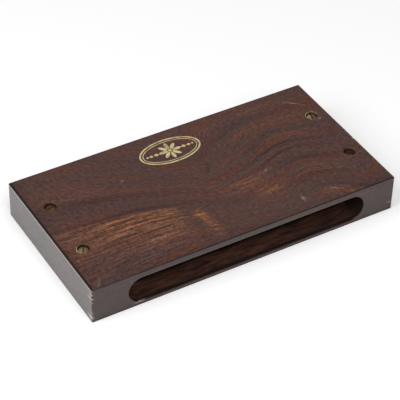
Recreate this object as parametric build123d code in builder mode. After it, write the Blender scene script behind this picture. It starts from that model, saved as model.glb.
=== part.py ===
"""A rosewood woodblock: one slotted block with four brass screws sunk in its solid ends.

The block lies flat. Its origin is the middle of its underside, +X runs along its length to the
right, the slot opens towards -Y and +Z is up. All sizes are in millimetres.
"""

import os

from build123d import *

# The block
block_length = 200.0
block_width = 104.0
block_height = 24.0
edge_radius = 0.6

# The slot, given by the walls that it leaves
upper_lip = 4.2
lower_lip = 2.7
end_wall = 22.0
back_wall = 19.0
mouth_chamfer = 0.4

# The screw holes, a pair down the middle of each solid end
screw_spacing = 40.6
wood_under_hole = 5.0
hole_rim_chamfer = 0.25

# The slot and the holes were set out a little to the right of the middle, the holes behind it too
set_out_right = 1.0
set_out_back = 1.2

# The slotted brass wood screw, whose thread takes up a fixed share of its length
head_diameter = 6.0
head_height = 1.7
head_crown = 0.7
driver_slot_width = 0.9
driver_slot_depth = 0.9
thread_diameter = 3.0
core_diameter = 2.1
thread_pitch = 1.35
ridge_root = 0.6
ridge_crest = 0.15
thread_share = 0.6
point_length = 3.0

# The thin brass cup that each screw's head sits in
cup_wall = 0.5
cup_rim_share = 0.4
cup_drop = 0.15
head_drop = 0.8

# Room between pieces that fit into each other, and how far the thread's ridge is rooted in the core
cup_clearance = 0.05
head_clearance = 0.6
shank_clearance = 0.1
point_clearance = 0.3
ridge_sink = 0.15

# How each screw's slot happened to stop, in degrees from +X
driver_slot_turns = {"back_left": 20, "back_right": 75, "front_left": 62, "front_right": 130}

# The slot and the screws follow from the block
slot_length = block_length - 2 * end_wall
slot_height = block_height - upper_lip - lower_lip
slot_middle = lower_lip + slot_height / 2
slot_depth = block_width - back_wall
screw_reach = block_length - end_wall

# The cup goes round the head, and its seat goes round the cup
head_radius = head_diameter / 2
well_radius = head_radius + head_clearance
cup_radius = well_radius + cup_wall
cup_height = cup_wall + head_height + head_drop
cup_base = block_height - cup_drop - cup_height
head_seat = cup_base + cup_wall

# The screw reaches from its seat in the cup almost to the bottom of its hole
thread_radius = thread_diameter / 2
core_radius = core_diameter / 2
hole_radius = thread_radius + shank_clearance
screw_length = head_seat - wood_under_hole - point_clearance
shank_end = -(1 - thread_share) * screw_length
point_start = point_length - screw_length
ridge_start = point_start + ridge_root / 2
ridge_end = shank_end - ridge_root
ridge_height = thread_radius - core_radius

os.makedirs("parts", exist_ok=True)

# One solid length of wood, all its edges eased alike
with BuildPart() as sound_block:
    with BuildSketch() as block_outline:
        Rectangle(block_length, block_width)
    extrude(amount=block_height)
    fillet(edges(), edge_radius)

    # A round cutter, driven in from the front and along, leaves a slot with full round ends
    front = Plane.XZ.offset(block_width / 2)
    with BuildSketch(front) as slot_mouth:
        with Locations((set_out_right, slot_middle)):
            SlotOverall(slot_length, slot_height)
    extrude(amount=-slot_depth, mode=Mode.SUBTRACT)
    front_face = faces().sort_by(Axis.Y)[0]
    chamfer(front_face.inner_wires()[0].edges(), mouth_chamfer)

    # A flat-bottomed seat for each cup, with the screw's hole below it
    with Locations((set_out_right, set_out_back, block_height)):
        with GridLocations(screw_reach, screw_spacing, 2, 2):
            CounterBoreHole(
                radius=hole_radius,
                counter_bore_radius=cup_radius + cup_clearance,
                counter_bore_depth=block_height - cup_base,
                depth=block_height - wood_under_hole,
            )
    hole_rims = edges().filter_by(GeomType.CIRCLE).group_by(Axis.Z)[-1]
    chamfer(hole_rims, hole_rim_chamfer)

# The cup is drawn from thin sheet: an open well with a rounded rim and a hole in its floor
with BuildPart() as cup:
    with BuildSketch() as cup_outline:
        Circle(cup_radius)
    extrude(amount=cup_height)
    offset(amount=-cup_wall, openings=faces().sort_by(Axis.Z)[-1])
    fillet(faces().sort_by(Axis.Z)[-1].edges(), cup_rim_share * cup_wall)
    Hole(hole_radius)

# The screw has the flat under its head at height zero and its point down
with BuildPart() as screw:
    with BuildSketch(Plane.XZ) as screw_half:
        with BuildLine():
            outline = Polyline(
                (0, head_height),
                (0, -screw_length),
                (core_radius, point_start),
                (core_radius, shank_end),
                (thread_radius, shank_end),
                (thread_radius, 0),
                (head_radius, 0),
                (head_radius, head_height - head_crown),
            )
            TangentArc(outline @ 0, outline @ 1, tangent=(1, 0))
        make_face()
    revolve(axis=Axis.Z)

    # The driver's slot runs right across the crown
    with BuildSketch(Plane.XY.offset(head_height)) as driver_slot:
        Rectangle(head_diameter, driver_slot_width)
    extrude(amount=-driver_slot_depth, mode=Mode.SUBTRACT)

    # One ridge winds round the core from the point up to the plain shank
    with BuildLine() as ridge_path:
        Helix(thread_pitch, ridge_end - ridge_start, core_radius, center=(0, 0, ridge_start))
    ridge_foot = Plane(origin=(core_radius, 0, ridge_start), x_dir=(1, 0, 0), z_dir=(0, 1, 0))
    with BuildSketch(ridge_foot) as ridge_section:
        with BuildLine():
            Polyline(
                (-ridge_sink, -ridge_root / 2),
                (ridge_height, -ridge_crest / 2),
                (ridge_height, ridge_crest / 2),
                (-ridge_sink, ridge_root / 2),
                close=True,
            )
        make_face()
    sweep(path=ridge_path.line, is_frenet=True)

sound_block.part.label = "sound_block"
export_step(sound_block.part, "parts/sound_block.step")

# The same cup and screw go into each corner
for corner, turn in driver_slot_turns.items():
    x_side = 1 if corner.endswith("right") else -1
    y_side = 1 if corner.startswith("back") else -1
    x = set_out_right + x_side * screw_reach / 2
    y = set_out_back + y_side * screw_spacing / 2

    with BuildPart() as corner_cup:
        with Locations((x, y, cup_base)):
            add(cup.part)
    corner_cup.part.label = f"cup_{corner}"
    export_step(corner_cup.part, f"parts/cup_{corner}.step")

    with BuildPart() as corner_screw:
        with Locations(Location((x, y, head_seat), (0, 0, turn))):
            add(screw.part)
    corner_screw.part.label = f"screw_{corner}"
    export_step(corner_screw.part, f"parts/screw_{corner}.step")
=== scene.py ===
# %% [markdown]
# # A rosewood woodblock
# A woodblock is a slab of hard wood with a slot cut into one long side. The thin lips above and below
# the slot ring when a stick hits them. This lesson dresses the slab, which comes ready built as solid
# parts, in the finishes that the eye sees: lacquered rosewood, aged brass screws and a gold stamp.
# The parts are already in place and in metres, so nothing here moves or reshapes them.

# %% Load the solid parts
import math

import bpy
from mathutils import Matrix, Vector


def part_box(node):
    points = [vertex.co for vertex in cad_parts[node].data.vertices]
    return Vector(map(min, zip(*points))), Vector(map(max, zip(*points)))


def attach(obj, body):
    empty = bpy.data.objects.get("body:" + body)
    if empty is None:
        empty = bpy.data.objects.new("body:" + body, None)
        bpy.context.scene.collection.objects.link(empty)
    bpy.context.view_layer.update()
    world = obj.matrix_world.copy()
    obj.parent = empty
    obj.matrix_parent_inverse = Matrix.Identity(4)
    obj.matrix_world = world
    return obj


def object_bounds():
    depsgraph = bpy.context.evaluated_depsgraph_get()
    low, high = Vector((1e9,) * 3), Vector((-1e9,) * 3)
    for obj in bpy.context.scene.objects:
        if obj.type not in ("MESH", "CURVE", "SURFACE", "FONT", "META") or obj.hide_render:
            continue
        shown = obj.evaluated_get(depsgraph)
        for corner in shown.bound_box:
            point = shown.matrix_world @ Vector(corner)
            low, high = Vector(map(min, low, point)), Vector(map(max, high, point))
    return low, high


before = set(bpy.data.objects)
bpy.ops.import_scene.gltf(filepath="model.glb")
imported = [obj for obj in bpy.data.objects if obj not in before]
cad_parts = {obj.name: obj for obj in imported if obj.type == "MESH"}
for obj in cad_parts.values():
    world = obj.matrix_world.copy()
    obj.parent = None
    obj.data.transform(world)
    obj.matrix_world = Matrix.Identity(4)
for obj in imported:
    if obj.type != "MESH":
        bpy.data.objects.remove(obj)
solid_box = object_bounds()
mm = 0.001
block_low, block_high = (Vector(corner) for corner in solid_box)
print("solid parts:", ", ".join(sorted(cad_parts)))
print("size of the block:", [round(size / mm, 2) for size in block_high - block_low], "mm")

# %% [markdown]
# ## The camera
# The block was photographed from its left front corner, well above it. The camera could be turned by
# hand until the picture fits, but here it is worked out from two angles, which is easier to repeat:
# first the direction from the block back to the camera, then the camera's right and up directions,
# with a small roll because it wasn't held quite level.

# %% Work out the camera's directions
azimuth = math.radians(-31.4)
elevation = math.radians(40.3)
roll = math.radians(1.6)

back = Vector((
    math.sin(azimuth) * math.cos(elevation),
    -math.cos(azimuth) * math.cos(elevation),
    math.sin(elevation),
))
level = Vector((0, 0, 1)).cross(back).normalized()
upright = back.cross(level)
right = level * math.cos(roll) + upright * math.sin(roll)
up = upright * math.cos(roll) - level * math.sin(roll)
print("the camera looks along", [round(-v, 3) for v in back])

# %% [markdown]
# A camera's own axes point right, up and back, so these three directions are the columns of its
# matrix. A long lens from a metre away keeps the block's long edges almost parallel. The block isn't
# quite in the middle of the picture, so the camera stands a little to the left and lower.

# %% Set up the camera
distance = 0.998
shift_left = 1.3 * mm
shift_down = 2.45 * mm
block_middle = (block_low + block_high) / 2
stand = block_middle + back * distance - right * shift_left - up * shift_down

camera_data = bpy.data.cameras.new("camera")
camera_data.sensor_width = 36
camera_data.lens = 153.1
camera = bpy.data.objects.new("camera", camera_data)
bpy.context.scene.collection.objects.link(camera)
camera.matrix_world = Matrix.Translation(stand) @ Matrix((right, up, back)).transposed().to_4x4()
bpy.context.scene.camera = camera
print("the camera stands at", [round(v, 3) for v in stand], "m")

# %% [markdown]
# ## Colours and nodes
# Colours are written the way that a paint program shows them, as sRGB hex values. Shaders count in
# linear light, so one function converts them. A second small function adds a shader node: it sets the
# node's own properties, and gives each socket either a value or a link from an earlier node. A socket
# is called by its name, or by its number where several share a name. On a Mix node, 0 is the share of
# the second input, 2 and 3 are two numbers, 6 and 7 are two colours, and the third output is a colour.

# %% Write the helpers for materials
def linear(hex_colour):
    """An sRGB hex colour as linear red, green, blue and alpha."""
    parts = [int(hex_colour[i:i + 2], 16) / 255 for i in (1, 3, 5)]
    return [c / 12.92 if c <= 0.04045 else ((c + 0.055) / 1.055) ** 2.4 for c in parts] + [1.0]


def add(tree, kind, sockets=None, **settings):
    """Add one node. A socket takes a value, an output, or a node whose first output is meant."""
    node = tree.nodes.new(kind)
    for name, value in settings.items():
        setattr(node, name, value)
    for socket, value in (sockets or {}).items():
        if isinstance(value, bpy.types.Node):
            value = value.outputs[0]
        if isinstance(value, bpy.types.NodeSocket):
            tree.links.new(value, node.inputs[socket])
        else:
            node.inputs[socket].default_value = value
    return node


def new_material(name):
    """A new material and its node tree, which is empty."""
    material = bpy.data.materials.new(name)
    material.use_nodes = True
    material.node_tree.nodes.clear()
    return material, material.node_tree


print("mid brown as linear light:", [round(v, 3) for v in linear("#4B3128")])

# %% [markdown]
# ## Floor and light
# The block lies on white paper. The paper matters for the look of the block itself, because the
# lacquered front and end mirror it, while the top mirrors the dimmer room behind. A roll of paper that
# curves up behind would do as well, but one flat sheet, far larger than the picture, is enough.

# %% Lay the paper
paper_width = 16.0
bpy.ops.object.select_all(action="DESELECT")
bpy.ops.mesh.primitive_plane_add(size=paper_width, location=(0, 0, 0))
paper = bpy.context.object
paper.name = "paper_floor"
print("paper:", paper.name, paper_width, "m across")

# %% [markdown]
# Matt paper scatters light evenly, so the eye sees one flat white from every side, and a diffuse
# shader gives just that. A faint glow, which only the camera, mirroring surfaces and glass see, lifts
# it to full white without more light on the block, and leaves the block's soft shadow on it. Further
# away, where less light reaches the paper, it glows more.

# %% Make the paper white
smooth = {"interpolation_type": "SMOOTHSTEP"}
white_paper, tree = new_material("matt_white_paper")
matt = add(tree, "ShaderNodeBsdfDiffuse", {"Color": linear("#F4F4F4"), "Roughness": 0.0})
rays = add(tree, "ShaderNodeLightPath").outputs
seen = rays["Is Camera Ray"]
for kind in ("Is Glossy Ray", "Is Transmission Ray"):
    seen = add(tree, "ShaderNodeMath", {0: seen, 1: rays[kind]}, operation="ADD", use_clamp=True)

spread = add(tree, "ShaderNodeTexCoord").outputs["Object"]
away = add(tree, "ShaderNodeVectorMath", {0: spread}, operation="LENGTH").outputs["Value"]
near_to_far = {"From Min": 0.2, "From Max": 2.0, "To Min": 0.2, "To Max": 0.8}
strength = add(tree, "ShaderNodeMapRange", {"Value": away, **near_to_far}, **smooth)
strength = add(tree, "ShaderNodeMath", {0: seen, 1: strength}, operation="MULTIPLY")
glow = add(tree, "ShaderNodeEmission", {"Color": linear("#FFFFFF"), "Strength": strength})
both = add(tree, "ShaderNodeAddShader", {0: matt, 1: glow})
add(tree, "ShaderNodeOutputMaterial", {"Surface": both})
paper.data.materials.append(white_paper)
print("the paper glows by", near_to_far["To Min"], "near by and", near_to_far["To Max"], "far away")

# %% [markdown]
# The light is that of a small product studio: a dim grey room all round and three soft boxes, one at
# the upper left, one overhead and one in front, which also shines into the slot. The top mirrors only
# the dim room behind the block, so its brown stays deep, while the front and the end mirror the paper
# and look grey. A lamp shines along its own -Z, so each one is turned until its +Z points away from
# the block.

# %% Light the studio
room = bpy.data.worlds.new("grey_room")
bpy.context.scene.world = room
room.use_nodes = True
background = room.node_tree.nodes["Background"]
background.inputs["Color"].default_value = linear("#797979")
background.inputs["Strength"].default_value = 1.0

# Each soft box: its place and its width in metres, and its power in watts
soft_boxes = {
    "left_soft_box": ((-1.2, 0.0, 1.2), 1.2, 14.5),
    "overhead_soft_box": ((0.0, -0.3, 1.6), 1.0, 6.0),
    "front_soft_box": ((-0.2, -1.12, 1.36), 1.0, 11.0),
}
for name, (place, width, power) in soft_boxes.items():
    lamp_data = bpy.data.lights.new(name, "AREA")
    lamp_data.shape = "SQUARE"
    lamp_data.size = width
    lamp_data.energy = power
    lamp = bpy.data.objects.new(name, lamp_data)
    lamp.location = place
    lamp.rotation_euler = Vector(place).to_track_quat("Z", "Y").to_euler()
    bpy.context.scene.collection.objects.link(lamp)
    print(name, "at", place, "m with", power, "W")
bpy.context.scene.view_settings.view_transform = "Standard"

# %% [markdown]
# ## The rosewood: where a point lies
# Rosewood is a dense, oily wood, and the eye sees a deep red brown with darker violet growth lines
# under a satin sheen. A photo of a board could be laid on each face, but then the figure would break at
# every edge. So the material reads Object coordinates, the place of a point in the solid, turned into
# millimetres along, across and up the board. Many of its marks are soft spots, which one function
# makes: the place is counted from the spot's middle, in steps of its reach, and the squared distance
# goes into a bell curve.

# %% Start the rosewood
rosewood, tree = new_material("lacquered_rosewood")
place = add(tree, "ShaderNodeTexCoord").outputs["Object"]
board = add(tree, "ShaderNodeVectorMath", {0: place, "Scale": 1 / mm}, operation="SCALE")
along, across, high = add(tree, "ShaderNodeSeparateXYZ", {0: board}).outputs

# A reach so long that a spot doesn't fade in that direction
far = 10000.0


def soft_spot(tree, place, middle, reach, turn=0.0):
    """A soft spot: 1 in its middle, about a third where its reach ends, in millimetres."""
    layout = {"Location": middle, "Rotation": (0, 0, math.radians(turn)), "Scale": reach}
    spot = add(tree, "ShaderNodeMapping", {"Vector": place, **layout}, vector_type="TEXTURE")
    square = add(tree, "ShaderNodeVectorMath", {0: spot, 1: spot}, operation="DOT_PRODUCT")
    minus = add(tree, "ShaderNodeMath", {0: square.outputs["Value"], 1: -1.0}, operation="MULTIPLY")
    return add(tree, "ShaderNodeMath", {0: minus}, operation="EXPONENT")


print("a spot keeps", round(math.exp(-1), 2), "of its strength where its reach ends")

# %% [markdown]
# ## The rosewood: how its grain runs
# On this board the growth lines don't run straight: they dip towards the front in a slanting valley
# through the middle, rise to its right, and fall again at the right end. A texture can't be told that
# directly, but the place that it reads can. The distance across the board is shifted by soft dips, so
# that any pattern drawn on the shifted distance follows the same curves right through the solid.

# %% Bend the grain
# Each dip: its middle and its reach along the board, its depth at mid width, how much that grows with
# each millimetre towards the back, and how much it slants
dips = {
    "valley": (15.0, 42.0, 21.5, 0.0, 0.5),
    "cleft": (6.0, 9.0, 6.0, 0.1, 0.0),
    "right_fall": (92.0, 26.0, 14.5, -0.4, 0.0),
}
ring = across
for name, (middle, reach, depth, growth, slant) in dips.items():
    slanted = add(tree, "ShaderNodeMath", {0: across, 1: slant, 2: along}, operation="MULTIPLY_ADD")
    row = add(tree, "ShaderNodeCombineXYZ", {0: slanted})
    bell = soft_spot(tree, row, (middle, 0.0, 0.0), (reach, far, far))
    drop = add(tree, "ShaderNodeMath", {0: across, 1: growth, 2: depth}, operation="MULTIPLY_ADD")
    ring = add(tree, "ShaderNodeMath", {0: bell, 1: drop, 2: ring}, operation="MULTIPLY_ADD")
    print(name, "at", middle, "mm, reaches", reach, "mm")

# The whole figure runs downhill to the right, more so at the back
downhill = 0.04
steeper_behind = 0.003
tilt = add(tree, "ShaderNodeMath", {0: across, 1: steeper_behind, 2: downhill}, operation="MULTIPLY_ADD")
ring = add(tree, "ShaderNodeMath", {0: along, 1: tilt, 2: ring}, operation="MULTIPLY_ADD")

# %% [markdown]
# The growth rings also lean through the thickness, which shows as slanting lines on the ends, and
# they wander by a few millimetres, as nothing in wood is quite even. One function makes streaks of a
# given length, width and depth by dividing the place by those sizes before a noise reads it. A wave
# texture would make streaks too, but more regular than a tree grows them.

# %% Let the rings lean and wander
def streaks(tree, place, size, detail, roughness=0.55):
    """Uneven streaks, each about as long, wide and deep as its size in millimetres."""
    spot = add(tree, "ShaderNodeVectorMath", {0: place, 1: size}, operation="DIVIDE")
    noise = {"Vector": spot, "Scale": 1.0, "Detail": detail, "Roughness": roughness}
    return add(tree, "ShaderNodeTexNoise", noise)


top = block_high.z / mm
lean = 0.55
wander_reach = 5.0
below_top = add(tree, "ShaderNodeMath", {0: high, 1: top}, operation="SUBTRACT")
ring = add(tree, "ShaderNodeMath", {0: below_top, 1: lean, 2: ring}, operation="MULTIPLY_ADD")
wander = streaks(tree, board, (40.0, 14.0, 14.0), 2.0)
wander = add(tree, "ShaderNodeMath", {0: wander, 1: 0.5}, operation="SUBTRACT")
ring = add(tree, "ShaderNodeMath", {0: wander, 1: wander_reach, 2: ring}, operation="MULTIPLY_ADD")
grain = add(tree, "ShaderNodeCombineXYZ", {0: along, 1: ring, 2: high})
print("the rings lean by", round(math.degrees(math.atan(lean))), "degrees")

# %% [markdown]
# ## The rosewood: streaks and growth lines
# Three sizes of streak make the ground figure: broad bands about 9 mm wide, ribs of 3 mm, and threads
# of nearly a millimetre. Hairs of half a millimetre glint in the light places, twice as coarse as on a
# real board so that they show, and short flecks break everything up. All of them read the bent grain.

# %% Draw the streaks
bands = streaks(tree, grain, (160.0, 9.0, 20.0), 1.0)
ribs = streaks(tree, grain, (60.0, 3.0, 7.0), 2.0)
threads = streaks(tree, grain, (26.0, 0.8, 1.8), 3.0)
hairs = streaks(tree, grain, (9.0, 0.45, 0.9), 2.0)
flecks = streaks(tree, grain, (2.6, 1.9, 2.0), 5.0, 0.85)
print("five sizes of streak drawn along the bent grain")

# %% [markdown]
# Over the streaks lie the growth lines that stand out on this board, each the dense dark wood at the
# end of a season. Noise can't put a line where it belongs, so each one is a long narrow soft spot on
# the bent grain, which bends it like the rest. A small knot sits in the cleft of the valley.

# %% Draw the growth lines
# Each line: its middle along the board and its ring, its reach along and across, and how dark it is
growth_lines = [
    # In the right half, from the back to the front
    ((50.0, 47.5), (40.0, 2.2), 0.22),
    ((60.0, 29.5), (16.0, 2.2), 0.35),
    ((42.0, 26.5), (8.0, 2.6), 0.50),
    ((55.0, 18.6), (26.0, 1.1), 0.90),
    ((54.0, 12.5), (28.0, 1.1), 0.75),
    ((60.0, 3.4), (18.0, 1.8), 0.55),
    ((62.0, -10.5), (22.0, 2.6), 0.60),
    ((70.0, -21.2), (22.0, 1.6), 0.50),
    # In the left half
    ((-65.0, 9.6), (32.0, 2.0), 0.58),
    ((-55.0, -4.8), (32.0, 1.4), 0.72),
    ((-50.0, -13.6), (24.0, 0.45), 0.50),
    ((-45.0, -16.6), (30.0, 0.50), 0.80),
    ((-40.0, -19.2), (24.0, 0.40), 0.50),
    ((-48.0, -22.0), (30.0, 0.60), 0.80),
]
lines = 0.0
for middle, reach, darkness in growth_lines:
    line = soft_spot(tree, grain, (*middle, 0.0), (*reach, far))
    lines = add(tree, "ShaderNodeMath", {0: line, 1: darkness, 2: lines}, operation="MULTIPLY_ADD")

knot_darkness = 0.7
knot = soft_spot(tree, board, (8.0, 7.5, top), (1.3, 4.0, 4.0), -35.0)
lines = add(tree, "ShaderNodeMath", {0: knot, 1: knot_darkness, 2: lines}, operation="MULTIPLY_ADD")
print(len(growth_lines), "growth lines and a small knot")

# %% [markdown]
# ## The rosewood: its light places
# The board has paler, orange-brown places where the figure is cut nearly flat. The largest lies at the
# left front, below a growth line that curves down to the right. That line is its rim: it slopes, and
# sags at its right end. The place starts at the rim, frayed by the ribs, and fades towards the front,
# the left end and the right, where the threads fray it. It could be one soft spot, but it has a sharp
# rim and soft ends, so each side gets a fade of its own and all of them are multiplied.

# %% Lay out the large light place
rim_middle = -8.0
rim_slope = -0.06
rim_sag = -8.5
sag = soft_spot(tree, board, (-14.0, 0.0, 0.0), (22.0, far, far))
rim = add(tree, "ShaderNodeMath", {0: along, 1: rim_slope, 2: rim_middle}, operation="MULTIPLY_ADD")
rim = add(tree, "ShaderNodeMath", {0: sag, 1: rim_sag, 2: rim}, operation="MULTIPLY_ADD")
below_rim = add(tree, "ShaderNodeMath", {0: rim, 1: across}, operation="SUBTRACT")

# Each frayed fade: where it is measured, what frays it, by how many millimetres, and its range
frayed_fades = {
    "rim": (below_rim, ribs, 6.0, {"From Min": 2.0, "From Max": 6.0}),
    "right": (along, threads, 14.0, {"From Min": -13.0, "From Max": -25.0}),
    "front": (below_rim, ribs, 20.0, {"From Min": 46.0, "From Max": 16.0, "To Min": 0.05}),
}
fades = {}
for name, (measure, streak, fray, fade_range) in frayed_fades.items():
    frayed = add(tree, "ShaderNodeMath", {0: streak, 1: fray, 2: measure}, operation="MULTIPLY_ADD")
    fades[name] = add(tree, "ShaderNodeMapRange", {"Value": frayed, **fade_range}, **smooth)
left_range = {"From Min": -104.0, "From Max": -62.0, "To Min": 0.4}
fades["left"] = add(tree, "ShaderNodeMapRange", {"Value": along, **left_range}, **smooth)

below_line = add(tree, "ShaderNodeMath", {0: fades["rim"], 1: fades["right"]}, operation="MULTIPLY")
light_place = below_line
for name in ("front", "left"):
    light_place = add(tree, "ShaderNodeMath", {0: light_place, 1: fades[name]}, operation="MULTIPLY")
print("the large light place fades to its", ", ".join(fades))

# %% [markdown]
# Smaller light places lie between the growth lines at the right, and one short bright streak stands
# across the grain. These are soft enough at all their sides to be soft spots, and follow the grain.

# %% Add the small light places
# Each one: its middle along the board and its ring, its reach along and across, and its strength
light_spots = [
    # In the right half, from the back to the front
    ((58.0, 55.0), (22.0, 4.0), 0.25),
    ((60.0, 40.0), (24.0, 4.5), 0.35),
    ((62.0, 25.0), (18.0, 3.0), 0.22),
    ((21.0, 7.0), (16.0, 5.0), 0.60),
    ((30.0, -6.0), (10.0, 3.5), 0.80),
    ((66.0, -6.5), (16.0, 3.0), 0.50),
    ((68.0, -26.0), (18.0, 3.0), 0.45),
    # In the left half, the bright streak last
    ((-70.0, 19.0), (26.0, 7.0), 0.15),
    ((-46.0, -29.6), (11.0, 2.5), 0.55),
    ((-17.0, -18.0), (3.0, 3.5), 1.50),
    ((-15.0, -29.0), (2.7, 12.0), 0.95),
]
for middle, reach, strength in light_spots:
    spot = soft_spot(tree, grain, (*middle, 0.0), (*reach, far))
    light_place = add(
        tree, "ShaderNodeMath", {0: spot, 1: strength, 2: light_place}, operation="MULTIPLY_ADD"
    )
print(len(light_spots), "small light places")

# %% [markdown]
# ## The rosewood: mixing its colours
# Two things vary from streak to streak: how light the wood is, its tone, and whether it leans to violet
# or to red, its hue. One colour ramp could hold both, but then every light streak would be red. So the
# bands, ribs and threads give the tone, and streaks of their own give the hue, which is a little redder
# to the right and to the front. Towards the back the board is calmer: its tone stays nearer to an even
# one.

# %% Set the tone and the hue
rib_share = 0.5
thread_share = 0.4
figure = add(tree, "ShaderNodeMath", {0: ribs, 1: rib_share, 2: bands}, operation="MULTIPLY_ADD")
figure = add(tree, "ShaderNodeMath", {0: threads, 1: thread_share, 2: figure}, operation="MULTIPLY_ADD")
tone = add(tree, "ShaderNodeMapRange", {"Value": figure, "From Min": 0.22, "From Max": 1.68})

even_tone = 0.48
calm_slope = -0.2
calm_range = {"From Min": 0.0, "From Max": 16.0, "To Max": 0.5}
calm = add(tree, "ShaderNodeMath", {0: along, 1: calm_slope, 2: across}, operation="MULTIPLY_ADD")
calm = add(tree, "ShaderNodeMapRange", {"Value": calm, **calm_range}, **smooth)
tone = add(tree, "ShaderNodeMix", {0: calm, 2: tone, 3: even_tone}, data_type="FLOAT")

redder_right = 0.0002
redder_behind = -0.0006
drift = streaks(tree, grain, (40.0, 5.0, 10.0), 1.0)
drift = add(tree, "ShaderNodeMath", {0: along, 1: redder_right, 2: drift}, operation="MULTIPLY_ADD")
drift = add(tree, "ShaderNodeMath", {0: across, 1: redder_behind, 2: drift}, operation="MULTIPLY_ADD")
hue = add(tree, "ShaderNodeMapRange", {"Value": drift, "From Min": 0.36, "From Max": 0.84}, **smooth)
print("at the back the tone is drawn to", even_tone, "by", calm_range["To Max"])

# %% [markdown]
# A tree doesn't grow evenly, so broad places of the board lean to one hue or are lighter or darker as a
# whole. Each is a soft spot a few centimetres across that shifts both values. Then the two values mix
# four browns: a violet and a red one for dark wood, and the same for pale wood.

# %% Mix the ground colours
# Each broad place: its middle and its reach along and across, how much redder and how much lighter
leanings = [
    ((88.0, -30.0), (14.0, 24.0), -0.35, 0.00),
    ((48.0, -40.0), (18.0, 9.0), -0.25, 0.00),
    ((24.0, 40.0), (10.0, 8.0), 0.35, 0.14),
    ((-60.0, 44.0), (30.0, 6.0), 0.22, 0.05),
    ((-8.0, 44.0), (22.0, 7.0), 0.05, 0.14),
    ((-24.0, 18.0), (12.0, 7.0), -0.25, 0.00),
    ((38.0, 6.0), (10.0, 6.0), -0.25, 0.00),
    ((-4.0, -10.0), (16.0, 10.0), 0.20, 0.10),
    ((74.0, 24.0), (14.0, 14.0), 0.05, 0.10),
    ((-90.0, -22.0), (8.0, 12.0), 0.00, -0.14),
]
for middle, reach, redder, lighter in leanings:
    spot = soft_spot(tree, board, (*middle, 0.0), (*reach, far))
    hue = add(tree, "ShaderNodeMath", {0: spot, 1: redder, 2: hue}, operation="MULTIPLY_ADD")
    tone = add(tree, "ShaderNodeMath", {0: spot, 1: lighter, 2: tone}, operation="MULTIPLY_ADD")

rgba = {"data_type": "RGBA"}
dark_violet = linear("#3D2829")
dark_red = linear("#45241D")
pale_violet = linear("#5F453D")
pale_red = linear("#71422F")
dark = add(tree, "ShaderNodeMix", {0: hue, 6: dark_violet, 7: dark_red}, **rgba).outputs[2]
pale = add(tree, "ShaderNodeMix", {0: hue, 6: pale_violet, 7: pale_red}, **rgba).outputs[2]
colour = add(tree, "ShaderNodeMix", {0: tone, 6: dark, 7: pale}, **rgba).outputs[2]
print(len(leanings), "broad places shift the ground colours")

# %% [markdown]
# In the light places an orange brown comes through, strongest on the ribs, and the short bright streak
# is more golden than the rest. There the wood also shines in fine threads and hairs, because the fibres
# lie flat and each catches the light at another angle. The colour is made brighter or darker by them,
# which shows from every side. The threads show a little even where the large place has faded.

# %% Colour the light places
orange_brown = linear("#815339")
golden_brown = linear("#8A5C38")
golden_share = 0.7
glint_range = {"From Min": 0.3, "From Max": 0.7, "To Min": 0.6, "To Max": 0.9}
glint = add(tree, "ShaderNodeMapRange", {"Value": ribs, **glint_range})
glint = add(tree, "ShaderNodeMath", {0: glint, 1: light_place}, operation="MULTIPLY", use_clamp=True)
colour = add(tree, "ShaderNodeMix", {0: glint, 6: colour, 7: orange_brown}, **rgba).outputs[2]
golden = soft_spot(tree, grain, (-16.5, -18.0, 0.0), (2.6, 4.0, far))
golden = add(tree, "ShaderNodeMath", {0: golden, 1: golden_share}, operation="MULTIPLY")
colour = add(tree, "ShaderNodeMix", {0: golden, 6: colour, 7: golden_brown}, **rgba).outputs[2]

hair_share = 0.7
fleck_share = 0.4
faded_share = 0.35
least_shine = 0.35
shine_range = {"From Min": 0.7, "From Max": 1.4, "To Min": -1.5, "To Max": 1.5}
shine = add(tree, "ShaderNodeMath", {0: hairs, 1: hair_share, 2: threads}, operation="MULTIPLY_ADD")
shine = add(tree, "ShaderNodeMath", {0: flecks, 1: fleck_share, 2: shine}, operation="MULTIPLY_ADD")
shine = add(tree, "ShaderNodeMapRange", {"Value": shine, **shine_range})
threaded = add(tree, "ShaderNodeMath", {0: below_line, 1: faded_share}, operation="MULTIPLY")
threaded = add(tree, "ShaderNodeMath", {0: threaded, 1: light_place}, operation="MAXIMUM")
shine = add(tree, "ShaderNodeMath", {0: shine, 1: threaded, 2: 1.0}, operation="MULTIPLY_ADD")
shine = add(tree, "ShaderNodeMath", {0: shine, 1: least_shine}, operation="MAXIMUM")
colour = add(tree, "ShaderNodeVectorMath", {0: colour, "Scale": shine}, operation="SCALE")
print("the light places shine by up to", shine_range["To Max"], "times their strength")

# %% [markdown]
# The growth lines darken what they cross, broken up by the threads, and the flecks make everything a
# little lighter or darker. Last come the pores, short open dashes that are a fifth of a millimetre wide
# on a real board and are drawn here twice as wide, so that they still show.

# %% Lay on the lines, the grit and the pores
line_brown = linear("#2A1A1C")
broken_range = {"From Min": 0.3, "From Max": 0.7, "To Min": 1.0, "To Max": 0.5}
broken = add(tree, "ShaderNodeMapRange", {"Value": threads, **broken_range})
lines = add(tree, "ShaderNodeMath", {0: lines, 1: broken}, operation="MULTIPLY", use_clamp=True)
colour = add(tree, "ShaderNodeMix", {0: lines, 6: colour, 7: line_brown}, **rgba).outputs[2]

grit_range = {"From Min": 0.25, "From Max": 0.75, "To Min": 0.22, "To Max": 1.78}
grit = add(tree, "ShaderNodeMapRange", {"Value": flecks, **grit_range})
colour = add(tree, "ShaderNodeVectorMath", {0: colour, "Scale": grit}, operation="SCALE")

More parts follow.
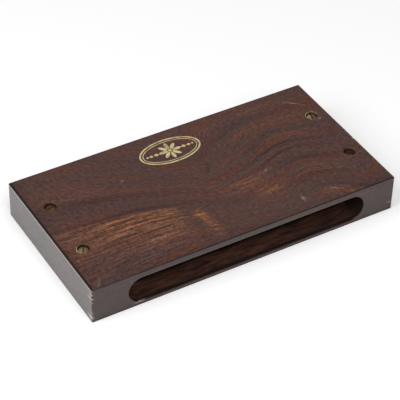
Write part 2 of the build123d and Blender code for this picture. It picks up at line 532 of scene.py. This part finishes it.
dashes = streaks(tree, grain, (3.0, 0.5, 0.9), 2.0)
pore_range = {"From Min": 0.6, "From Max": 0.74, "To Max": 0.7}
pores = add(tree, "ShaderNodeMapRange", {"Value": dashes, **pore_range}, **smooth)
colour = add(tree, "ShaderNodeMix", {0: pores, 6: colour, 7: line_brown}, **rgba).outputs[2]
print("lines, grit and pores laid on")

# %% [markdown]
# ## The rosewood: sides and edges
# The sides and ends are darker than the top, and the edges carry painted shade and wear. They could be
# painted on by hand, but they can also be found: half the block's size less the distance from its middle
# is how deep a point lies below the nearest end, long side or face.

# %% Measure from the sides
block_half = (block_high - block_low) / 2
depths = []
for measure, middle, half in zip((along, across, high), block_middle / mm, block_half / mm):
    aside = add(tree, "ShaderNodeMath", {0: measure, 1: middle}, operation="SUBTRACT")
    aside = add(tree, "ShaderNodeMath", {0: aside}, operation="ABSOLUTE")
    depths.append(add(tree, "ShaderNodeMath", {0: half, 1: aside}, operation="SUBTRACT"))
from_ends, from_long_sides, from_faces = depths

left_end = block_low.x / mm
right_end = block_high.x / mm
front_side = block_low.y / mm
from_left = add(tree, "ShaderNodeMath", {0: along, 1: left_end}, operation="SUBTRACT")
from_front = add(tree, "ShaderNodeMath", {0: across, 1: front_side}, operation="SUBTRACT")
to_side = add(tree, "ShaderNodeMath", {0: from_ends, 1: from_long_sides}, operation="MINIMUM")
on_side = add(tree, "ShaderNodeMapRange", {"Value": to_side, "From Min": 0.6, "From Max": 0.2}, **smooth)
print("half sizes measured from:", [round(half / mm, 1) for half in block_half], "mm")

# %% [markdown]
# A dark line of painted shade runs along the edges of the top and the underside, wider along the left
# end and thin along the long sides. A broad strip at the left and the front is a little darker, and the
# lowest edges all round are darkened with painted shade where the block meets the paper. Each is a fade
# over one of these depths.

# %% Find the painted shade and the darker strip
# Painted shade: a dark line along the edges of the top and the underside, wide at the left end and thin
# along the long sides
wide = add(tree, "ShaderNodeMapRange", {"Value": from_left, "From Min": 1.8, "From Max": 0.9}, **smooth)
thin_range = {"From Min": 1.2, "From Max": 0.6, "To Max": 0.6}
thin = add(tree, "ShaderNodeMapRange", {"Value": from_long_sides, **thin_range}, **smooth)
border = add(tree, "ShaderNodeMath", {0: wide, 1: thin}, operation="MAXIMUM")
face = add(tree, "ShaderNodeMapRange", {"Value": from_faces, "From Min": 0.5, "From Max": 0.1}, **smooth)
edge_shade = add(tree, "ShaderNodeMath", {0: border, 1: face}, operation="MULTIPLY")

# A broad strip at the front and the left of the block is made a little darker
nearest = add(tree, "ShaderNodeMath", {0: from_front, 1: from_left}, operation="MINIMUM")
darker_strip_range = {"From Min": 9.0, "From Max": 1.0, "To Min": 1.0, "To Max": 0.84}
darker_strip = add(tree, "ShaderNodeMapRange", {"Value": nearest, **darker_strip_range}, **smooth)

# Painted shade along the lowest edges all round, where the block meets the paper
edge_range = {"From Min": 0.9, "From Max": 0.5}
lowest = add(tree, "ShaderNodeMapRange", {"Value": high, **edge_range}, **smooth)
outermost = add(tree, "ShaderNodeMapRange", {"Value": to_side, **edge_range}, **smooth)
low_edge_shade = add(tree, "ShaderNodeMath", {0: lowest, 1: outermost}, operation="MULTIPLY")
print("dirt and handled edges found")

# %% [markdown]
# The slot and the edges of the holes were cut after the block was lacquered, so the wood there is raw.
# The slot is what lies between the lips, behind the front and well inside the ends. The holes are
# round, so a soft spot round the middle of each cup finds them: its edge is where the spot has faded
# to about a third.

# %% Find the raw wood
hole_reach = 4.55
holes = 0.0
for corner in ("back_left", "back_right", "front_left", "front_right"):
    cup_low, cup_high = (Vector(end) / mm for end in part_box("cup_" + corner))
    cup_middle = (cup_low + cup_high) / 2
    hole = soft_spot(tree, board, cup_middle, (hole_reach, hole_reach, far))
    holes = add(tree, "ShaderNodeMath", {0: holes, 1: hole}, operation="ADD")
hole_edge = add(tree, "ShaderNodeMapRange", {"Value": holes, "From Min": 0.365, "From Max": 0.395})

between_lips = add(tree, "ShaderNodeMapRange", {"Value": from_faces, "From Min": 2.5, "From Max": 2.6})
behind = add(tree, "ShaderNodeMapRange", {"Value": from_long_sides, "From Min": 0.2, "From Max": 0.4})
inward = add(tree, "ShaderNodeMapRange", {"Value": from_ends, "From Min": 18.0, "From Max": 18.1})
raw = add(tree, "ShaderNodeMath", {0: between_lips, 1: behind}, operation="MULTIPLY")
raw = add(tree, "ShaderNodeMath", {0: raw, 1: inward}, operation="MULTIPLY")
print("raw wood in the slot and up to", hole_reach, "mm from the middle of each hole")

# %% [markdown]
# ## The rosewood: its wear and edge highlights
# The vertical edges have lost small chips of lacquer, which show pale, and along the upper edges of the
# ends runs a painted highlight, a pale line about a millimetre below the top. The chips could be cut
# into the mesh, but they are hardly deeper than the lacquer, so they are only coloured. A noise of about
# 2 mm breaks them up.

# %% Wear the edges and paint their highlights
uprights = add(tree, "ShaderNodeMath", {0: from_ends, 1: from_long_sides}, operation="MAXIMUM")
uprights = add(tree, "ShaderNodeMapRange", {"Value": uprights, **edge_range}, **smooth)
chips = streaks(tree, board, (2.0, 2.0, 1.5), 2.0)
chip_range = {"From Min": 0.56, "From Max": 0.68, "To Max": 0.6}
chips = add(tree, "ShaderNodeMapRange", {"Value": chips, **chip_range}, **smooth)
chips = add(tree, "ShaderNodeMath", {0: uprights, 1: chips}, operation="MULTIPLY")

# Painted highlight: a pale line about a millimetre below the top of each end
highlight_drop = 1.0
highlight_reach = 0.5
end_range = {"From Min": 0.5, "From Max": 0.2, "To Max": 0.5}
on_end = add(tree, "ShaderNodeMapRange", {"Value": from_ends, **end_range}, **smooth)
rubbed_and_highlit = soft_spot(tree, board, (0.0, 0.0, top - highlight_drop), (far, far, highlight_reach))
rubbed_and_highlit = add(tree, "ShaderNodeMath", {0: on_end, 1: rubbed_and_highlit}, operation="MULTIPLY")
edge_wear_and_highlight = add(tree, "ShaderNodeMath", {0: chips, 1: rubbed_and_highlit}, operation="MAXIMUM")
print("upright edges chipped, upper edges of the ends rubbed")

# %% [markdown]
# The board also has a few scuffs, scratches and larger chips, and three painted highlights: a faint line
# along the upper lip, a pale spot on the lower lip that is partly a chip, and a line along the upper
# edge of the right end. Each is a pale soft spot, turned where the mark runs at an angle, and the flecks
# make it patchy.

# %% Scuff the board and paint its highlights
# Each mark: its place, its reach in the three directions, its turn and how clearly it shows
scuffs_and_highlights = [
    # On the top
    ((87.3, 36.2, top), (6.0, 0.5, 1.0), -38.0, 0.26),
    ((42.6, -42.0, top), (1.0, 1.9, 1.0), 0.0, 0.28),
    ((63.0, -42.4, top), (2.0, 0.5, 1.0), -20.0, 0.30),
    ((-41.5, 21.8, top), (0.9, 0.6, 1.0), 0.0, 0.35),
    ((-95.0, -27.0, top), (0.8, 0.6, 1.0), 0.0, 0.20),
    ((92.7, 16.8, top), (1.1, 0.6, 1.0), 40.0, 0.55),
    ((-94.0, -48.5, top), (2.4, 0.6, 1.0), 50.0, 0.18),
    ((37.0, -10.0, top), (1.6, 0.4, 1.0), 30.0, 0.30),
    # Down the front edge of the left end
    ((left_end, -50.6, 20.4), (1.0, 1.8, 0.6), 0.0, 0.75),
    ((left_end, -50.2, 17.4), (1.0, 2.4, 0.7), 0.0, 0.90),
    ((left_end, -50.8, 14.6), (1.0, 1.6, 0.4), 0.0, 0.45),
    ((left_end, -50.6, 7.4), (1.0, 1.8, 0.4), 0.0, 0.45),
    ((left_end, -50.0, 3.4), (1.0, 2.4, 1.2), 0.0, 1.10),
    # On the front: a pale spot on the lower lip, partly a chip and partly a painted highlight, a painted
    # highlight along the upper lip, and a chip at the right
    ((-70.5, front_side, 2.6), (3.0, 1.0, 0.35), 0.0, 0.60),
    ((0.0, front_side, 20.2), (80.0, 0.4, 0.45), 0.0, 0.07),
    ((98.0, front_side, 6.0), (1.4, 1.0, 0.4), 0.0, 0.50),
    # Along the upper edge of the right end: a painted highlight line, and a chip
    ((right_end, 0.0, top), (0.5, 70.0, 0.7), 0.0, 0.45),
    ((99.8, -9.5, top), (0.7, 1.0, 1.0), 0.0, 1.20),
]
# The marks add up real scuffs and chips and painted highlights on the lips and the right end
scuffed_and_highlit = 0.0
for middle, reach, turn, strength in scuffs_and_highlights:
    one_mark = soft_spot(tree, board, middle, reach, turn)
    scuffed_and_highlit = add(tree, "ShaderNodeMath", {0: one_mark, 1: strength, 2: scuffed_and_highlit}, operation="MULTIPLY_ADD")
patchy = add(tree, "ShaderNodeMapRange", {"Value": flecks, "From Min": 0.35, "From Max": 0.55})
scuffed_and_highlit = add(tree, "ShaderNodeMath", {0: scuffed_and_highlit, 1: patchy}, operation="MULTIPLY")
wear_and_highlights = add(tree, "ShaderNodeMath", {0: edge_wear_and_highlight, 1: scuffed_and_highlit}, operation="MAXIMUM", use_clamp=True)
print(len(scuffs_and_highlights), "scuffs and chips")

# %% [markdown]
# ## The rosewood: colouring what was found
# On the sides the colour is multiplied with a grey pink, which darkens it and still lets the figure
# show, where a plain mix would hide it. Inside the slot the cutter tore the raw wood, which shows as
# rough pale streaks, and about a centimetre in they are painted paler still: painted light on the slot's
# floor.

# %% Colour the sides and the slot
colour = add(tree, "ShaderNodeVectorMath", {0: colour, "Scale": darker_strip}, operation="SCALE")
# The sides and ends are made darker by multiplying their colour with a grey pink
side_tint = {0: 1.0, 6: colour, 7: linear("#B09C9C")}
darkened = add(tree, "ShaderNodeMix", side_tint, blend_type="MULTIPLY", **rgba).outputs[2]
colour = add(tree, "ShaderNodeMix", {0: on_side, 6: colour, 7: darkened}, **rgba).outputs[2]

deep_brown = linear("#2C1B16")
torn_brown = linear("#5E3E31")
torn = streaks(tree, board, (14.0, 3.0, 3.0), 4.0, 0.7)
torn = add(tree, "ShaderNodeMapRange", {"Value": torn, "From Min": 0.35, "From Max": 0.68})
inside = add(tree, "ShaderNodeMix", {0: torn, 6: deep_brown, 7: torn_brown}, **rgba).outputs[2]
# Painted light: the slot's floor is made paler from a few millimetres to about a centimetre in
floor_light_range = {"From Min": 3.0, "From Max": 13.0, "To Min": 0.88, "To Max": 1.75}
slot_floor_light = add(tree, "ShaderNodeMapRange", {"Value": from_long_sides, **floor_light_range}, **smooth)
inside = add(tree, "ShaderNodeVectorMath", {0: inside, "Scale": slot_floor_light}, operation="SCALE")
print("sides stained, slot torn and dusty")

# %% [markdown]
# The slot carries painted shade in an almost black brown: at its mouth, in its depth, near its ends, and
# more and more towards its right end. Added up, the shades would turn black too soon where they meet, so
# the strongest of them wins.

# %% Paint shade into the slot
# Each painted shade: where it is measured, and the range from where it starts to where it is full
slot_shades = {
    "mouth": (from_long_sides, {"From Min": 3.4, "From Max": 1.6}),
    "depth": (from_long_sides, {"From Min": 13.8, "From Max": 16.0}),
    "ends": (from_ends, {"From Min": 34.0, "From Max": 24.0, "To Max": 0.25}),
    "right part": (along, {"From Min": 28.0, "From Max": 58.0, "To Max": 0.35}),
    "right end": (along, {"From Min": 72.0, "From Max": 77.0, "To Max": 0.8}),
}
shade_brown = linear("#17100C")
deepest_shade = 0.92
shaded = 0.0
for measure, shade_range in slot_shades.values():
    shading = add(tree, "ShaderNodeMapRange", {"Value": measure, **shade_range}, **smooth)
    shaded = add(tree, "ShaderNodeMath", {0: shaded, 1: shading}, operation="MAXIMUM")
shaded = add(tree, "ShaderNodeMath", {0: shaded, 1: deepest_shade}, operation="MULTIPLY")
inside = add(tree, "ShaderNodeMix", {0: shaded, 6: inside, 7: shade_brown}, **rgba).outputs[2]
colour = add(tree, "ShaderNodeMix", {0: raw, 6: colour, 7: inside}, **rgba).outputs[2]
print("slot burnt at its", ", ".join(slot_shades))

# %% [markdown]
# Painted shade, wear and painted highlights lie on top of everything else, so their colours come last,
# each mixed over the ones before: a brown black for the painted shade along the edges, a violet grey for
# the painted shade on the low edges, and a chalky grey for the wood dust in the chips and scuffs and for
# the painted highlights.

# %% Lay on painted shade, wear and painted highlights
# Brown black is painted shade along the edges, violet grey painted shade on the low edges, chalky grey
# wear and painted highlights
top_colours = [(edge_shade, "#1A110F"), (low_edge_shade, "#33272A"), (wear_and_highlights, "#D2C8C0")]
for where, top_colour in top_colours:
    colour = add(tree, "ShaderNodeMix", {0: where, 6: colour, 7: linear(top_colour)}, **rgba).outputs[2]
    print("laid on", top_colour)

# %% [markdown]
# ## The rosewood: its lacquer
# A satin lacquer covers the outside. It could be mixed in as a second, glossy shader, but the principled
# shader has a clear coat for just this, whose weight says how much lacquer is left: none in the slot,
# on the low edges and round the holes, half where it chipped off, and less where hands have rubbed it,
# at both ends and along the lower lip.

# %% Thin the lacquer
chip_loss = -0.5
loss = {"operation": "SUBTRACT", "use_clamp": True}
right_range = {"From Min": 30.0, "From Max": 90.0, "To Min": 1.0, "To Max": 0.8}
rubbed_right = add(tree, "ShaderNodeMapRange", {"Value": along, **right_range}, **smooth)
left_range = {"From Min": 1.0, "From Max": 0.0, "To Min": 1.0, "To Max": 0.93}
rubbed_left = add(tree, "ShaderNodeMapRange", {"Value": from_left, **left_range})
on_front = add(tree, "ShaderNodeMapRange", {"Value": from_front, "From Min": 0.5, "From Max": 0.2})
lip_range = {"From Min": 3.4, "From Max": 2.4, "To Max": 0.2}
low_lip = add(tree, "ShaderNodeMapRange", {"Value": high, **lip_range}, **smooth)
low_lip = add(tree, "ShaderNodeMath", {0: low_lip, 1: on_front}, operation="MULTIPLY")

lacquer = add(tree, "ShaderNodeMath", {0: 1.0, 1: raw}, **loss)
lacquer = add(
    tree, "ShaderNodeMath", {0: wear_and_highlights, 1: chip_loss, 2: lacquer}, operation="MULTIPLY_ADD", use_clamp=True
)
for bare in (low_edge_shade, hole_edge):
    lacquer = add(tree, "ShaderNodeMath", {0: lacquer, 1: bare}, **loss)
lacquer = add(tree, "ShaderNodeMath", {0: lacquer, 1: rubbed_right}, operation="MULTIPLY")
lacquer = add(tree, "ShaderNodeMath", {0: lacquer, 1: low_lip}, **loss)
lacquer = add(tree, "ShaderNodeMath", {0: lacquer, 1: rubbed_left}, operation="MULTIPLY")
print("lacquer thinned where it is chipped or rubbed")

# %% [markdown]
# The coat is smooth enough to mirror the white paper softly, with a lacquer's index of refraction, and
# thin enough that the threads and pores still show as faint ripples, a few hundredths of a millimetre
# high. The wood below it is dull, and duller still where it is raw.

# %% Finish the rosewood
raw_roughness = 0.35
pore_depth = -0.6
ripple_height = 0.05 * mm
uneven = add(tree, "ShaderNodeMapRange", {"Value": ribs, "To Min": 0.36, "To Max": 0.52})
rough = add(tree, "ShaderNodeMath", {0: raw, 1: raw_roughness, 2: uneven}, operation="MULTIPLY_ADD")
relief = add(tree, "ShaderNodeMath", {0: pores, 1: pore_depth, 2: threads}, operation="MULTIPLY_ADD")
ripple = add(tree, "ShaderNodeBump", {"Height": relief, "Strength": 0.25, "Distance": ripple_height})
wood_and_coat = {
    "Base Color": colour,
    "Roughness": rough,
    "Specular IOR Level": 0.15,
    "Normal": ripple,
    "Coat Weight": lacquer,
    "Coat Roughness": 0.2,
    "Coat IOR": 1.43,
}
shader = add(tree, "ShaderNodeBsdfPrincipled", wood_and_coat)
add(tree, "ShaderNodeOutputMaterial", {"Surface": shader})
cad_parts["sound_block"].material_slots[0].material = rosewood
print("the rosewood has", len(tree.nodes), "nodes")

# %% [markdown]
# ## The brass
# The screws and their cups are brass that has aged: bright only where it stands proud and gets rubbed,
# and brown with tarnish and dirt lower down. One brass with a noise all over would look new or old
# everywhere alike. So the eye is given a colour by height: below a certain level a brown skin, which
# hardly looks like metal any more, and above it the metal, most of all round one spot that is rubbed and
# carries a painted highlight, with soft spots of tarnish of about a millimetre in between.

# %% Write the recipe for aged brass
tarnish_size = 1.25
pit_depth = 0.05 * mm


def aged_and_lit_brass(name, bright, dull, clean_from, clean_to, highlight_spot, reach, least=0.1):
    """Brass that is dull below one height and clean above another, given in millimetres.

    Away from its highlight spot, a painted highlight, only the least share of it is clean and lit.
    """
    material, tree = new_material(name)
    place = add(tree, "ShaderNodeTexCoord").outputs["Object"]
    board = add(tree, "ShaderNodeVectorMath", {0: place, "Scale": 1 / mm}, operation="SCALE")
    high = add(tree, "ShaderNodeSeparateXYZ", {0: board}).outputs["Z"]
    spots = add(tree, "ShaderNodeTexNoise", {"Vector": board, "Scale": 1 / tarnish_size, "Detail": 3.0})
    patch_range = {"From Min": 0.4, "From Max": 0.65, "To Min": 1.0, "To Max": 0.3}
    patchy = add(tree, "ShaderNodeMapRange", {"Value": spots, **patch_range})
    clean_range = {"From Min": clean_from, "From Max": clean_to}
    clean_and_lit = add(tree, "ShaderNodeMapRange", {"Value": high, **clean_range}, **smooth)
    clean_and_lit = add(tree, "ShaderNodeMath", {0: clean_and_lit, 1: patchy}, operation="MULTIPLY")
    # Painted highlight: round one spot the metal is clean and bright
    rubbed_and_highlit = soft_spot(tree, board, highlight_spot, (reach, reach, far))
    rubbed_and_highlit = add(tree, "ShaderNodeMapRange", {"Value": rubbed_and_highlit, "To Min": least, "To Max": 1.0})
    clean_and_lit = add(tree, "ShaderNodeMath", {0: clean_and_lit, 1: rubbed_and_highlit}, operation="MULTIPLY")
    shades = {6: linear(dull), 7: linear(bright)}
    colour = add(tree, "ShaderNodeMix", {0: clean_and_lit, **shades}, **rgba).outputs[2]
    metallic = add(tree, "ShaderNodeMapRange", {"Value": clean_and_lit, "To Min": 0.2, "To Max": 0.5})
    rough = add(tree, "ShaderNodeMapRange", {"Value": clean_and_lit, "To Min": 0.65, "To Max": 0.35})
    pitted = add(tree, "ShaderNodeBump", {"Height": spots, "Strength": 0.3, "Distance": pit_depth})
    surface = {"Base Color": colour, "Metallic": metallic, "Roughness": rough, "Normal": pitted}
    metal = add(tree, "ShaderNodeBsdfPrincipled", surface)
    add(tree, "ShaderNodeOutputMaterial", {"Surface": metal})
    return material


print("tarnish spots are about", tarnish_size, "mm wide")

# %% [markdown]
# The corners differ in the light that they catch, which is painted into their colours. The front left
# cup has a painted highlight on its left rim and the back right one down its back wall, while the rims
# of the other two are painted in shade, to about the colour of the wood. The screw heads are painted lit
# at the front left and back right and shaded at the other two. A single material could not show that, so
# each corner gets its own pair from the same recipe. Highlight spots are counted from the middle of the
# head.

# %% Finish each corner
# Each cup: its colour where it is clean and lit, its painted highlight spot, how far down and how much
# of it is clean
cup_light_and_age = {
    "front_left": ("#FFE6D0", (-4.4, 0.2), 0.35, 0.1),
    "back_right": ("#DCC48E", (-3.2, 2.8), 1.6, 0.3),
    "back_left": ("#7A6050", (3.8, 1.0), 0.35, 0.4),
    "front_right": ("#8E7468", (-4.2, 0.6), 0.35, 0.5),
}
# Each screw: its colour where it is clean and lit, its dull colour and its painted highlight spot
screw_light_and_age = {
    "front_left": ("#A89068", "#5A4128", (-0.8, 0.6)),
    "back_right": ("#DCC088", "#4A2C1B", (-1.9, 1.8)),
    "back_left": ("#7E5638", "#42281A", (1.0, 0.4)),
    "front_right": ("#552C1E", "#321811", (0.0, 0.0)),
}
cup_dull = "#432819"
cup_highlight_reach = 2.8
screw_highlight_reach = 2.4
# How far below the cup's rim, and below the screw's crown, the metal is clean, and is still dull
rim_clean = 0.1
crown_clean = 0.35
crown_dull = 0.85
for corner, (bright, highlight_spot, clean_depth, least) in cup_light_and_age.items():
    cup_low, cup_high = (Vector(end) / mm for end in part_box("cup_" + corner))
    cup_middle = (cup_low + cup_high) / 2
    spot = cup_middle + Vector((*highlight_spot, 0.0))
    heights = (cup_high.z - clean_depth, cup_high.z - rim_clean)
    name = "drawn_brass_" + corner
    cup_finish = aged_and_lit_brass(name, bright, cup_dull, *heights, spot, cup_highlight_reach, least)
    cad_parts["cup_" + corner].material_slots[0].material = cup_finish

    bright, dull, highlight_spot = screw_light_and_age[corner]
    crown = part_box("screw_" + corner)[1][2] / mm
    spot = cup_middle + Vector((*highlight_spot, 0.0))
    heights = (crown - crown_dull, crown - crown_clean)
    screw_finish = aged_and_lit_brass("turned_brass_" + corner, bright, dull, *heights, spot, screw_highlight_reach)
    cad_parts["screw_" + corner].material_slots[0].material = screw_finish
    print(corner, "rim at", round(cup_high.z, 2), "mm, crown at", round(crown, 2), "mm")

# %% [markdown]
# ## The gold stamp
# Near the back edge the block carries a small ornament in gold leaf, 40 by 22 mm, of the plain sort
# found on boxes and book spines: two oval lines, a rosette of eight petals, and a row of lozenges on
# either side. It could be drawn by a texture, but a mesh has clean edges at any size. All of it is one
# flat mesh made of circles: an oval is a circle that was squeezed, and an inset whose middle is deleted
# leaves its line.

# %% Draw the ovals
stamp_middle = Vector((-3.0, 33.2, top)) * mm
oval_points = 96
oval_length = 40.0
oval_width = 22.0
inner_smaller = 4.0
outer_line = 1.0
inner_line = 0.5


def flat_shape(points, across_x, across_y, offset_x=0.0, offset_y=0.0):
    """Add a filled flat shape of some points to the mesh in edit mode, its sizes in millimetres."""
    middle = stamp_middle + Vector((offset_x, offset_y, 0)) * mm
    radius = across_x / 2 * mm
    bpy.ops.mesh.primitive_circle_add(vertices=points, radius=radius, fill_type="NGON", location=middle)
    bpy.ops.transform.resize(value=(1, across_y / across_x, 1), center_override=middle)


bpy.ops.object.select_all(action="DESELECT")
bpy.ops.mesh.primitive_circle_add(
    vertices=oval_points, radius=oval_length / 2 * mm, fill_type="NGON", location=stamp_middle
)
stamp = bpy.context.object
stamp.name = "gold_stamp"
bpy.ops.object.mode_set(mode="EDIT")
bpy.ops.mesh.select_all(action="SELECT")
bpy.ops.transform.resize(value=(1, oval_width / oval_length, 1), center_override=stamp_middle)
bpy.ops.mesh.inset(thickness=outer_line * mm)
bpy.ops.mesh.delete(type="FACE")
flat_shape(oval_points, oval_length - inner_smaller, oval_width - inner_smaller)
bpy.ops.mesh.inset(thickness=inner_line * mm)
bpy.ops.mesh.delete(type="FACE")
stamp.update_from_editmode()
print("the two ovals have", len(stamp.data.polygons), "faces")

# %% [markdown]
# The rosette is one petal copied round by the spin tool, and a lozenge is a circle of four points. A new
# shape is selected all over when it is added, so the spin turns only the petal.

# %% Add the rosette and the lozenges
petals = 8
petal_points = 24
petal_width = 2.3
petal_length = 5.8
petal_middle = 4.5
heart = 2.4
spin_angle = math.radians(360 - 360 / petals)
flat_shape(petal_points, petal_width, petal_length, 0.0, petal_middle)
bpy.ops.mesh.spin(steps=petals - 1, dupli=True, angle=spin_angle, center=stamp_middle, axis=(0, 0, 1))
flat_shape(petal_points, heart, heart)

# Each lozenge: how far it lies from the middle, and its length, with a little room between their tips
lozenges = [(9.3, 3.4), (12.6, 2.8), (15.2, 2.0)]
width_share = 0.8
for direction in (-1, 1):
    for offset, length in lozenges:
        flat_shape(4, length, length * width_share, direction * offset)
stamp.update_from_editmode()
print("with its rosette and lozenges the stamp has", len(stamp.data.polygons), "faces")

# %% [markdown]
# The leaf gets its thickness from the solidify modifier, a few hundredths of a millimetre, half of it
# above the wood. The normals are made to agree first, so that all of it thickens the same way, and its
# place is applied last, so that the object itself sits at the origin like the solid parts.

# %% Give the leaf its thickness
leaf_thickness = 0.06 * mm
merge_distance = 0.001 * mm
bpy.ops.mesh.select_all(action="SELECT")
bpy.ops.mesh.remove_doubles(threshold=merge_distance)
bpy.ops.mesh.normals_make_consistent(inside=False)
bpy.ops.object.mode_set(mode="OBJECT")
leaf = stamp.modifiers.new("leaf", "SOLIDIFY")
leaf.thickness = leaf_thickness
leaf.offset = 0.0
bpy.ops.object.modifier_apply(modifier=leaf.name)
bpy.ops.object.transform_apply(location=True, rotation=True, scale=True)
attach(stamp, "root")
print("the gold stamp has", len(stamp.data.polygons), "faces")

# %% [markdown]
# Gold leaf pressed into wood isn't a mirror: the eye sees a pale satin gold that follows the pores and
# is rubbed thin in blotches of a few millimetres, where the brown shows through. As dull as that, it
# scatters more light than it mirrors, so less than a third of it counts as metal.

# %% Gild the stamp
blotch_size = 4.0
crease_height = 0.03 * mm
leaf_gold = linear("#EBD8A4")
thin_gold = linear("#8A6C44")
gold_leaf, tree = new_material("pressed_gold_leaf")
place = add(tree, "ShaderNodeTexCoord").outputs["Object"]
board = add(tree, "ShaderNodeVectorMath", {0: place, "Scale": 1 / mm}, operation="SCALE")
noise = {"Vector": board, "Scale": 1 / blotch_size, "Detail": 4.0, "Roughness": 0.7}
blotches = add(tree, "ShaderNodeTexNoise", noise)
rubbed_range = {"From Min": 0.45, "From Max": 0.7, "To Max": 0.8}
rubbed_and_highlit = add(tree, "ShaderNodeMapRange", {"Value": blotches, **rubbed_range})
colour = add(tree, "ShaderNodeMix", {0: rubbed_and_highlit, 6: leaf_gold, 7: thin_gold}, **rgba).outputs[2]
rough = add(tree, "ShaderNodeMapRange", {"Value": blotches, "To Min": 0.4, "To Max": 0.65})
creased = add(tree, "ShaderNodeBump", {"Height": blotches, "Strength": 0.2, "Distance": crease_height})
surface = {"Base Color": colour, "Metallic": 0.3, "Roughness": rough, "Normal": creased}
gold = add(tree, "ShaderNodeBsdfPrincipled", surface)
add(tree, "ShaderNodeOutputMaterial", {"Surface": gold})
stamp.data.materials.append(gold_leaf)
print("gilded:", stamp.name)

# %% [markdown]
# ## The size
# The dressed block must not outgrow the solid one. The box of the solid parts, measured when they were
# loaded, is written down at the end.

# %% Write the solid box and finish
print("solid box:", solid_box)
